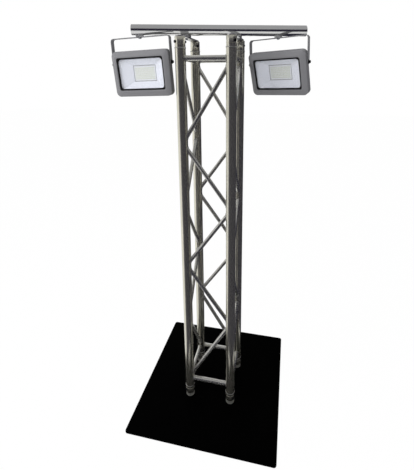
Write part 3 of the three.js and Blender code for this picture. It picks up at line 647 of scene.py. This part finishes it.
def makeCouplers(values):
    r, c, foot, top = values["radius"], values["chamfer"], values["foot"], values["flangeTop"]
    middle, deep, wide = values["grooveHeight"], values["grooveDepth"], values["grooveWidth"] / 2
    piece = turned("coupler", [
        (0, values["coneTop"]), (values["coneTip"] - values["tipChamfer"], values["coneTop"]),
        (values["coneTip"], values["coneTop"] - values["tipChamfer"]), (values["coneBase"], top + 1),
        (values["coneBase"] + 1, top), (r - c, top), (r - c * softShare, top - c * softShare), (r, top - c),
        (r, middle + wide), (r - deep, middle + wide / 2),
        (r - deep, middle - wide / 2), (r, middle - wide),
        (r, foot + c), (r - c * softShare, foot + c * softShare), (r - c, foot),
        (values["bore"], foot), (values["bore"], values["boreTop"]), (0, values["boreTop"])], 56)
    put(piece, shift(spacing, -spacing, 0))
    combine(piece, pinTool(pins["lower"], pins["play"]), "DIFFERENCE")
    smooth(piece)
    for i, corner in enumerate(corners):
        twin = copied(piece, "coupler_" + corner, quarter[i])
        fit(twin, "stand", "coupler_aluminium", "turnedAluminium", "half_coupler_" + corner)
    bpy.data.objects.remove(piece)


def makePins(values):
    tail, head = -values["tailReach"], values["headReach"]
    small, big, edge = values["tailRadius"], values["headRadius"], values["edge"]
    piece = turned("pin", [
        (0, tail), (small - edge, tail), (small - edge * softShare, tail + edge * softShare),
        (small, tail + edge), (big, head - edge),
        (big - edge * softShare, head - edge * softShare), (big - edge, head),
        (big * 0.45, head), (big * 0.35, head - 0.6), (0, head - 0.6)], 36)
    clip = tail + values["clipFromEnd"]
    combine(piece, rod("clipHole", (0, -9, clip), (0, 9, clip), values["clipHole"], sides=16), "DIFFERENCE")
    outward = diagonal.to_track_quat("Z", "Y").to_matrix().to_4x4()
    smooth(piece)
    put(piece, shift(spacing, -spacing, values["lower"]) @ outward)
    for level in ("lower", "upper"):
        rise = shift(0, 0, values[level] - values["lower"])
        for i, corner in enumerate(corners):
            name = level + "_" + corner
            twin = copied(piece, "pin_" + name, rise @ quarter[i])
            fit(twin, "stand", "dark_steel", "blackenedSteel", "taper_pin_" + name)
    bpy.data.objects.remove(piece)


makeCouplers(coupler)
makePins(pins)
print("couplers and pins made")

# Truss: four sides, each one chord with the lacing welded to it, and eight end braces
truss = {
    "bottom": 28.6, "top": 2028.6, "chordRadius": 25, "tubeBore": 22,
    "receiverRadius": 24.5, "chamfer": 1.5, "mouth": 19.3, "throat": 14.66,
    "receiverDepth": 65, "beadMiddle": 49.5, "beadRadius": 2.4, "beadRing": 24.1,
    "grooveFromEnd": 33.5, "grooveDepth": 0.8, "grooveWidth": 2.2,
    "lacingRadius": 10, "nodes": (1922.1, 1531.1, 1196.1, 861.1, 526.1, 135.1),
    "ownCut": 24.6, "nextCut": 25.3, "lacingBead": 2.3, "braceBead": 2.7,
    "braceRadius": 12.5, "braceLower": 123.6, "braceUpper": 1933.6,
    "chordSteps": 64, "tubeSides": 36,
}


def junction(axis, away, radius, count):
    # Where a tube that leaves the chord's axis meets the chord's surface
    away = away.normalized()
    flat = Vector((away.x, away.y, 0)).normalized()
    across = Vector((-flat.y, flat.x, 0))
    up = across.cross(away)
    points = []
    for i in range(count):
        turn = 2 * math.pi * i / count
        side, rise = radius * math.cos(turn), radius * math.sin(turn)
        reach = math.sqrt(truss["chordRadius"] ** 2 - side ** 2)
        distance = (reach - rise * up.dot(flat)) / away.dot(flat)
        points.append(axis + away * distance + across * side + up * rise)
    return points


def ringPoints(axis, radius, z, count):
    turns = [2 * math.pi * i / count for i in range(count)]
    return [Vector((axis.x + radius * math.cos(a), axis.y + radius * math.sin(a), z)) for a in turns]


def endProfile(values):
    # From the bore's mouth at the top end, over the outside, to just past the weld.
    # The second number is the depth from the end.
    r, c = values["receiverRadius"], values["chamfer"]
    groove, wide, deep = values["grooveFromEnd"], values["grooveWidth"] / 2, values["grooveDepth"]
    weld = values["beadMiddle"]
    return [(values["mouth"], 0), (r - c, 0), (r - c * softShare, c * softShare), (r, c),
            (r, groove - wide), (r - deep, groove - wide / 2),
            (r - deep, groove + wide / 2), (r, groove + wide),
            (r, weld - 1.6), (r - 0.9, weld), (values["chordRadius"], weld + 1.6)]


def makeTrussSide(values):
    own = Vector((spacing, -spacing, 0))
    following = Vector((-spacing, -spacing, 0))
    top, bottom = values["top"], values["bottom"]
    upper = [(radius, top - depth) for radius, depth in endProfile(values)]
    lower = [(radius, bottom + depth) for radius, depth in reversed(endProfile(values))]
    deep, throat, bore = values["receiverDepth"], values["throat"], values["tubeBore"]
    inside = [(throat, bottom + deep), (bore, bottom + deep), (bore, top - deep), (throat, top - deep)]
    piece = turned("trussSide", [*upper, *lower, *inside, upper[0]], values["chordSteps"])
    put(piece, shift(*own))
    for level in ("lower", "upper"):
        combine(piece, pinTool(pins[level], pins["play"]), "DIFFERENCE")
    heights = values["nodes"]
    tubes, beads = [], []
    for i in range(len(heights) - 1):
        ends = [own, following] if i % 2 == 0 else [following, own]
        start = ends[0] + Vector((0, 0, heights[i]))
        end = ends[1] + Vector((0, 0, heights[i + 1]))
        tubes.append(rod("lacing", start, end, values["lacingRadius"], sides=values["tubeSides"]))
        for axis, away in ((start, end - start), (end, start - end)):
            curve = junction(axis, away, values["lacingRadius"] + 0.6, 48)
            beads.append(weldBead("bead", curve, values["lacingBead"]))
    lacing = joined(*tubes)
    for axis, radius in ((own, values["ownCut"]), (following, values["nextCut"])):
        tool = rod("chordTool", axis + Vector((0, 0, bottom)), axis + Vector((0, 0, top)), radius, sides=64)
        combine(lacing, tool, "DIFFERENCE")
    paint(smooth(lacing), "hazyAluminiumTube")
    paint(smooth(piece), "drawnAluminiumTube")
    for z in (bottom + values["beadMiddle"], top - values["beadMiddle"]):
        beads.append(weldBead("bead", ringPoints(own, values["beadRing"], z, 96), values["beadRadius"]))
    for bead in beads:
        paint(bead, "weldAluminium")
    return joined(piece, lacing, *beads)


def makeTruss(values):
    piece = makeTrussSide(values)
    for i, side in enumerate(sides):
        twin = copied(piece, "trussSide_" + side, quarter[i])
        fit(twin, "stand", "truss_aluminium", None, "truss_side_" + side)
    bpy.data.objects.remove(piece)


def makeBraces(values):
    start = Vector((spacing, -spacing, values["braceLower"]))
    end = Vector((-spacing, -spacing, values["braceLower"]))
    piece = rod("brace", start, end, values["braceRadius"], sides=values["tubeSides"])
    beads = []
    for axis, away in ((start, end - start), (end, start - end)):
        low = Vector((axis.x, axis.y, values["bottom"]))
        high = Vector((axis.x, axis.y, values["top"]))
        combine(piece, rod("chordTool", low, high, values["nextCut"], sides=64), "DIFFERENCE")
        curve = junction(axis, away, values["braceRadius"] + 0.6, 56)
        beads.append(weldBead("bead", curve, values["braceBead"]))
    paint(piece, "hazyAluminiumTube")
    smooth(piece)
    for bead in beads:
        paint(bead, "weldAluminium")
    piece = joined(piece, *beads)
    for level, rise in (("lower", 0), ("upper", values["braceUpper"] - values["braceLower"])):
        for i, side in enumerate(sides):
            name = level + "_" + side
            twin = copied(piece, "brace_" + name, shift(0, 0, rise) @ quarter[i])
            fit(twin, "stand", "truss_aluminium", None, "end_brace_" + name)
    bpy.data.objects.remove(piece)


makeTruss(truss)
makeBraces(truss)
print("truss made")

# Cross tube, its plugs, the rails that carry it and their bolts
bar = {
    "turn": 14.7, "height": 2067.7, "bottom": 2042.7, "radius": 25, "bore": 21, "left": -380, "right": 462,
    "edge": 0.8, "steps": 72, "insertRadius": 9, "insertTop": 17, "boltHole": 5.3,
    "plugRadius": 20.7, "plugHollow": 18.2, "plugLength": 16, "plugFace": 2.5,
}
rails = {
    "bottom": 2028.9, "top": 2034.9, "width": 40, "length": 280, "edge": 0.5,
    "saddleTop": 2045.4, "saddleLength": 44, "seat": 25.3, "boltHole": 5.3,
    "coneBase": 19, "coneTip": 16, "coneLength": 44, "tipChamfer": 2,
    "headRadius": 9.2, "headHeight": 6.4, "boltRadius": 5, "boltTop": 2056.7, "gap": 0.3,
}
lampHang = {
    "left": {"x": -343.5, "pan": -20.3, "tilt": 3.7},
    "right": {"x": 325, "pan": -39.2, "tilt": 14.1},
    "lean": -2.2, "drop": 7, "rise": 122,
}
barFrame = spun(bar["turn"], "Z")
barSlope = math.tan(math.radians(bar["turn"]))
lyingDown = spun(90, "Y")  # takes a piece drawn along Z to lie along X


def hangFrame(side):
    return barFrame @ shift(lampHang[side]["x"], 0, bar["bottom"]) @ spun(lampHang["lean"], "Y")


def barTool(radius):
    return put(rod("barTool", (bar["left"], 0, bar["height"]), (bar["right"], 0, bar["height"]), radius,
                   sides=bar["steps"]), barFrame)


def makeBar(values):
    outer, inner, edge = values["radius"], values["bore"], values["edge"]
    low, high = values["left"], values["right"]
    soft = edge * softShare
    profile = [(inner, low + edge), (inner + edge, low), (outer - edge, low), (outer - soft, low + soft),
               (outer, low + edge), (outer, high - edge), (outer - soft, high - soft),
               (outer - edge, high), (inner + edge, high), (inner, high - edge), (inner, low + edge)]
    piece = turned("crossTube", profile, values["steps"])
    put(piece, barFrame @ shift(0, 0, values["height"]) @ lyingDown)
    places = [hangFrame(side) for side in ("left", "right")]
    places += [shift(x, x * barSlope, values["bottom"]) for x in (-spacing, spacing)]
    for place in places:
        insert = rod("insert", (0, 0, 2), (0, 0, values["insertTop"]), values["insertRadius"])
        combine(piece, put(insert, place), "UNION")
    for place in places:
        hole = values["boltHole"]
        tool = rod("insertTool", (0, 0, -overrun), (0, 0, values["insertTop"] + overrun), hole)
        combine(piece, put(tool, place), "DIFFERENCE")
    smooth(piece)
    fit(piece, "stand", "tube_aluminium", "anodisedAluminiumTube", "cross_tube")


def makePlugs(values):
    outer, hollow = values["plugRadius"], values["plugHollow"]
    face, length = values["plugFace"], values["plugLength"]
    piece = turned("plug", [
        (0, 0.7), (outer * 0.55, 0.7), (outer * 0.6, 0.1), (outer - 1, 0.1), (outer, 0.9),
        (outer, length - 1), (outer - 0.8, length), (hollow + 0.5, length), (hollow, length - 0.5),
        (hollow, face), (0, face)], 56)
    for name, end, turn in (("left", values["left"], 90), ("right", values["right"], -90)):
        place = barFrame @ shift(end, 0, values["height"]) @ spun(turn, "Y")
        twin = copied(piece, "plug_" + name, place)
        fit(twin, "stand", "black_plastic", "blackNylon", "end_plug_" + name)
    bpy.data.objects.remove(piece)


def makeRails(values):
    for name, x in (("left", -spacing), ("right", spacing)):
        boltY = x * barSlope
        thickness = values["top"] - values["bottom"]
        piece = flatPlate("rail_" + name, values["width"], values["length"],
                          values["width"] / 2 - values["gap"], values["bottom"], thickness)
        put(piece, shift(x, 0, 0))
        rounded(piece, values["edge"], 2, 60)
        height = values["saddleTop"] - values["top"]
        saddle = block("saddle", (values["width"] - 0.4, values["saddleLength"], height + 1),
                       (x, boltY, values["top"] + height / 2 - 0.5))
        rounded(saddle, 1, 2)
        combine(piece, saddle, "UNION")
        combine(piece, barTool(values["seat"]), "DIFFERENCE")
        hole = values["boltHole"]
        tool = rod("boltTool", (x, boltY, values["bottom"] - overrun),
                   (x, boltY, values["saddleTop"] + overrun), hole)
        combine(piece, tool, "DIFFERENCE")
        # Each spigot is a closed shell of its own that reaches a little into the rail
        tip = values["bottom"] - values["coneLength"]
        for y in (-spacing, spacing):
            spigot = turned("spigot", [
                (0, tip), (values["coneTip"] - values["tipChamfer"], tip),
                (values["coneTip"], tip + values["tipChamfer"]), (values["coneBase"], values["bottom"]),
                (values["coneBase"] - 0.5, values["bottom"] + 2), (0, values["bottom"] + 2)], 48)
            put(spigot, shift(x, y, 0))
            turn = quarter[corners.index(("front_" if y < 0 else "back_") + name)]
            combine(spigot, put(pinTool(pins["upper"], pins["play"]), turn), "DIFFERENCE")
            piece = joined(piece, spigot)
        smooth(piece)
        fit(piece, "stand", "rail_aluminium", "milledAluminium", "cross_rail_" + name)


def makeRailBolts(values):
    top = values["bottom"] - values["gap"]
    foot = top - values["headHeight"]
    # The head hangs under the rail, so it is drawn upside down and turned over
    head = hexHead("railBolt", values["headRadius"], 0, values["headHeight"], 1.6)
    shank = values["boltTop"] - foot
    put(head, shift(0, 0, top) @ spun(180, "X"))
    radius, end = values["boltRadius"], foot + shank
    screw = turned("boltShank", [(0, foot + 1), (radius, foot + 1), (radius, end - 1),
                                 (radius - 1, end), (0, end)], 32)
    piece = smooth(combine(head, screw, "UNION"))
    for name, x in (("left", -spacing), ("right", spacing)):
        twin = copied(piece, "railBolt_" + name, shift(x, x * barSlope, 0))
        fit(twin, "stand", "zinc_steel", "zincPlatedSteel", "rail_bolt_" + name)
    bpy.data.objects.remove(piece)


makeBar(bar)
makePlugs(bar)
makeRails(rails)
makeRailBolts(rails)
print("cross tube made")
makeCards(cards)
print("cards hung")

# What the lamps hang from: saddle pad, hanging bolt and strap
hanger = {
    "padLength": 34, "padWidth": 28, "padRise": 5, "padEdge": 1, "gap": 0.3, "boltHole": 5.3,
    "boltRadius": 5, "boltTop": 15, "headRadius": 8, "headHeight": 4,
    "washerRadius": 10, "washerHeight": 1.5, "socketRadius": 3, "socketDepth": 2,
    "thickness": 3, "width": 24, "bend": 15, "half": 158.3, "holeRadius": 4.3, "edge": 0.7, "bendSteps": 10,
}


def makePad(values, side):
    low, high = -lampHang["drop"] + values["gap"], values["padRise"]
    piece = block(side + "SaddlePad", (values["padLength"], values["padWidth"], high - low),
                  (0, 0, (low + high) / 2))
    rounded(piece, values["padEdge"], 3)
    drill = rod("padDrill", (0, 0, low - overrun), (0, 0, high + overrun), values["boltHole"])
    combine(piece, drill, "DIFFERENCE")
    put(piece, hangFrame(side))
    combine(piece, barTool(bar["radius"] + values["gap"]), "DIFFERENCE")
    smooth(piece)
    fit(piece, "stand", "rail_aluminium", "milledAluminium", side + "_lamp_saddle_pad")


def makeHangingBolt(values):
    washerTop = -lampHang["drop"] - values["thickness"] - values["gap"]
    washer = washerTop - values["washerHeight"]
    foot = washer - values["headHeight"]
    head, wide, shank = values["headRadius"], values["washerRadius"], values["boltRadius"]
    piece = turned("hangingBolt", [
        (0, foot), (head * 0.55, foot), (head * 0.8, foot + 0.6), (head * 0.95, foot + 1.7),
        (head, foot + 3), (head, washer), (wide - 0.4, washer), (wide, washer + 0.4),
        (wide, washerTop - 0.4), (wide - 0.4, washerTop), (shank, washerTop), (shank, values["boltTop"] - 1),
        (shank - 1, values["boltTop"]), (0, values["boltTop"])], 40)
    socket = rod("socketTool", (0, 0, foot - overrun), (0, 0, foot + values["socketDepth"]),
                 values["socketRadius"], sides=6)
    return smooth(combine(piece, socket, "DIFFERENCE"))


def makeStrap(values):
    half, bend, steps = values["half"], values["bend"], values["bendSteps"]
    top, pivot = -lampHang["drop"], -lampHang["drop"] - lampHang["rise"]
    path = [(half, pivot - values["width"] / 2)]
    for i in range(steps + 1):
        turn = math.pi / 2 * i / steps
        path.append((half - bend + bend * math.cos(turn), top - bend + bend * math.sin(turn)))
    path += [(-x, z) for x, z in reversed(path)]
    points = [(x, -values["width"] / 2, z) for x, z in path]
    piece = startPoint("strap", points[0])
    drawOn(points)
    bpy.ops.mesh.select_all(action="SELECT")
    bpy.ops.mesh.extrude_region_move(TRANSFORM_OT_translate={"value": (0, values["width"] * mm, 0)})
    closeUp()
    # The ends of the legs are rounded to the strap's full width
    selectWhere(piece, lambda place: place.z < pivot * mm)
    bpy.ops.mesh.bevel(offset=values["width"] / 2 * mm, segments=12, affect="VERTICES")
    closeUp()
    face = piece.data.polygons[0]
    outwards = face.normal.dot(face.center - Vector((0, 0, pivot * mm))) > 0
    modify(piece, "SOLIDIFY", thickness=values["thickness"] * mm, offset=-1 if outwards else 1,
           use_even_offset=True)
    rounded(piece, values["edge"], 2, 50)
    reach = half + overrun
    tool = rod("pivotTool", (-reach, 0, pivot), (reach, 0, pivot), values["holeRadius"])
    combine(piece, tool, "DIFFERENCE")
    tool = rod("hangTool", (0, 0, top - values["thickness"] - overrun), (0, 0, top + overrun),
               values["boltHole"])
    return smooth(combine(piece, tool, "DIFFERENCE"))


# Floodlight, drawn at its pivots with its front towards minus Y
flood = {
    "middle": -48, "width": 308, "height": 218,
    # (width, height, corner radius, y) from the middle of the back face round the rim to the cavity floor
    "shell": ((252, 162, 11, 24), (255.6, 165.6, 12.8, 23.4), (258, 168, 14, 21.6), (258, 168, 14, 13.6),
              (260, 170, 15, 12.4), (263, 173, 16, 12), (304, 214, 22, 11.8), (307, 217, 23.5, 11.1),
              (308, 218, 24, 9.8), (308, 218, 24, -17.2), (306.4, 216.4, 23.2, -18), (276, 186, 16, -17.8),
              (276, 186, 16, 7), (246, 156, 8, 7.2), (246, 156, 8, 16)),
    "fins": 11, "finThickness": 3, "finDepth": 20, "finHeight": 126, "finTop": 30, "finSpan": 242,
    "bossRadius": 12, "bossHeight": 1, "pivotHole": 4.3, "pivotDepth": 13,
    "bezel": ((252, 156, 10, -29.2), (252.5, 156.5, 10.3, -29.8), (253.6, 157.6, 10.8, -30),
              (265, 169, 16.5, -29.9), (267, 171, 17.5, -29.7), (303, 213, 22, -22.6),
              (306.4, 216.4, 23.2, -21.7), (308, 218, 24, -20.4), (308, 218, 24, -19),
              (306.6, 216.6, 23.3, -18.3), (264.6, 168.6, 14, -18.4), (264.6, 168.6, 14, -23.3),
              (252, 156, 10, -23.4)),
    "seal": ((251.4, 155.4, 10, -25.9), (250.6, 154.6, 9.6, -26.2), (238.4, 142.4, 15, -26.3),
             (236.6, 140.6, 14.3, -25.8), (236, 140, 14, -24.8), (236, 140, 14, -23.4),
             (251.4, 155.4, 10, -23.3)),
    "reflector": ((244, 148, 1.2, -18.7), (124, 78, 1.2, 13.8), (127, 81, 2, 13.7),
                  (247.4, 151.4, 2, -17.2), (250, 154, 3, -17.4), (250, 154, 3, -18.6)),
}
board = {
    "width": 118, "height": 72, "front": 14.1, "back": 15.7, "cornerRadius": 2, "edge": 0.2,
    "columns": 13, "rows": 7, "pitch": 8.3, "chip": 6.4, "chipHeight": 0.55, "chipEdge": 0.5,
}
gland = {
    "z": -114, "seat": 24.3, "nutRadius": 9, "nutLength": 10,
    "domeLength": 12, "domeRadius": 8, "tipRadius": 5.5, "bore": 3.4, "boreFloor": 2.3,
}
screw = {
    "seat": 158.6, "tip": 141.6, "flangeRadius": 10, "flangeHeight": 2, "headRadius": 7.6, "headHeight": 6,
    "shankRadius": 4,
}


def makeHousing(values):
    piece = framed("housing", values["shell"], values["middle"], True)
    finZ = values["finTop"] - values["finHeight"] / 2
    back = values["shell"][0][3]
    pitch = values["finSpan"] / (values["fins"] - 1)
    fin = block("fins", (values["finThickness"], values["finDepth"] + 1, values["finHeight"]),
                (-values["finSpan"] / 2, back + values["finDepth"] / 2 - 0.5, finZ))
    rounded(fin, 1.1, 3)
    modify(fin, "ARRAY", count=values["fins"], use_relative_offset=False, use_constant_offset=True,
           constant_offset_displace=(pitch * mm, 0, 0))
    combine(piece, fin, "UNION")
    half = values["width"] / 2
    for side in (-1, 1):
        face = side * half
        boss = rod("boss", (face - side * 2, 0, 0), (face + side * values["bossHeight"], 0, 0),
                   values["bossRadius"], sides=56)
        combine(piece, boss, "UNION")
        tool = rod("pivotTool", (face + side * 4, 0, 0), (face - side * values["pivotDepth"], 0, 0),
                   values["pivotHole"])
        combine(piece, tool, "DIFFERENCE")
    return smooth(piece)


def makeBoard(values):
    thickness = values["back"] - values["front"]
    base = flatPlate("board", values["width"], values["height"], values["cornerRadius"], 0, thickness)
    rounded(base, values["edge"], 1, 60)
    paint(base, "whiteSolderMask")
    size, high = values["chip"], values["chipHeight"]
    chip = block("chip", (size, size, high + 0.4), (0, 0, thickness + high / 2 - 0.2))
    rounded(chip, values["chipEdge"], 2)
    firstX = -(values["columns"] - 1) / 2 * values["pitch"]
    firstY = -(values["rows"] - 1) / 2 * values["pitch"]
    put(chip, shift(firstX, firstY, 0))
    pitch = values["pitch"] * mm
    for count, step in ((values["columns"], (pitch, 0, 0)), (values["rows"], (0, pitch, 0))):
        modify(chip, "ARRAY", count=count, use_relative_offset=False, use_constant_offset=True,
               constant_offset_displace=step)
    paint(chip, "phosphorGel")
    smooth(chip)
    piece = joined(base, chip)
    return put(piece, shift(0, values["back"], flood["middle"]) @ spun(90, "X"))


def makeGland(values):
    nut = hexHead("gland", values["nutRadius"], 0, values["nutLength"], 1.4)
    first, dome, tip = values["nutLength"], values["domeRadius"], values["tipRadius"]
    last = first + values["domeLength"]
    slope = (dome - tip) / last
    profile = [(0, 1), (dome - 1, 1), (dome - 1, first)]
    for i in range(4):
        z = first + 0.6 + i * (last - first - 1.6) / 4
        profile += [(dome - slope * z, z), (dome - slope * z, z + 1.6), (dome - slope * z - 0.5, z + 1.9),
                    (dome - slope * z - 0.5, z + 2.3)]
    profile += [(tip, last - 1), (tip - 0.8, last), (0, last)]
    combine(nut, turned("glandDome", profile, 40), "UNION")
    tool = rod("glandTool", (0, 0, values["boreFloor"]), (0, 0, last + overrun), values["bore"])
    combine(nut, tool, "DIFFERENCE")
    smooth(nut)
    return put(nut, shift(0, values["seat"], values["z"]) @ spun(-90, "X"))


def makePivotScrew(values):
    head = hexHead("pivotScrew", values["headRadius"], values["flangeHeight"] - 0.5,
                   values["headHeight"] + 0.5, 1.3)
    wide, high, shank = values["flangeRadius"], values["flangeHeight"], values["shankRadius"]
    tip = values["tip"] - values["seat"]
    body = turned("screwBody", [
        (0, tip), (shank - 1, tip), (shank, tip + 1), (shank, 0), (wide - 0.3, 0), (wide, 0.3),
        (wide, high * 0.5), (wide - 0.5, high * 0.85), (wide - 1.4, high), (0, high)], 48)
    piece = smooth(combine(body, head, "UNION"))
    return put(piece, shift(values["seat"], 0, 0) @ spun(90, "Y"))


def makeLamps():
    for side in ("left", "right"):
        makePad(hanger, side)
    bolt, strap = makeHangingBolt(hanger), makeStrap(hanger)
    pivotScrew = makePivotScrew(screw)
    middle = flood["middle"]
    parts = (
        ("Housing", makeHousing(flood), "lamp_paint", "greyPowderCoat", "housing"),
        ("Bezel", framed("bezel", flood["bezel"], middle, False), "lamp_paint", "greyPowderCoat", "bezel"),
        ("Seal", framed("seal", flood["seal"], middle, False), "black_rubber",
         "blackSiliconeRubber", "seal_frame"),
        ("Reflector", framed("reflector", flood["reflector"], middle, False), "white_reflector",
         "whiteReflectorSheet", "reflector"),
        ("Board", makeBoard(board), "led_board", None, "led_board"),
        ("Gland", makeGland(gland), "black_plastic", "blackNylon", "cable_gland"),
    )
    for side in ("left", "right"):
        hang = hangFrame(side)
        pan = hang @ spun(lampHang[side]["pan"], "Z")
        pivot = pan @ shift(0, 0, -lampHang["drop"] - lampHang["rise"])
        tilt = pivot @ spun(lampHang[side]["tilt"], "X")
        node = side + "_lamp_"
        twin = copied(bolt, side + "HangingBolt", hang)
        fit(twin, "stand", "zinc_steel", "zincPlatedSteel", node + "hanging_bolt")
        twin = copied(strap, side + "Strap", pan)
        fit(twin, side + "_yoke", "yoke_paint", "darkGreyPowderCoat", node + "yoke")
        for end, turn in (("left", 180), ("right", 0)):
            twin = copied(pivotScrew, side + "PivotScrew_" + end, pivot @ spun(turn, "Z"))
            fit(twin, side + "_lamp", "dark_steel", "blackenedSteel", node + "pivot_screw_" + end)
        for name, piece, slot, finish, ending in parts:
            fit(copied(piece, side + name, tilt), side + "_lamp", slot, finish, node + ending)
    for piece in (bolt, strap, pivotScrew, *[part[1] for part in parts]):
        bpy.data.objects.remove(piece)


makeLamps()
print("lamps made")

# CAD nodes that stay as they are, with a finer material
kept = {name: "zincPlatedSteel" for name in nodes if name.startswith("coupler_screw_")}
kept.update({side + "_lamp_glass": "toughenedGlass" for side in ("left", "right")})
for name, finish in kept.items():
    for slot in nodes[name].material_slots:
        slot.material = materials[finish]
print("kept nodes finished:", len(kept))
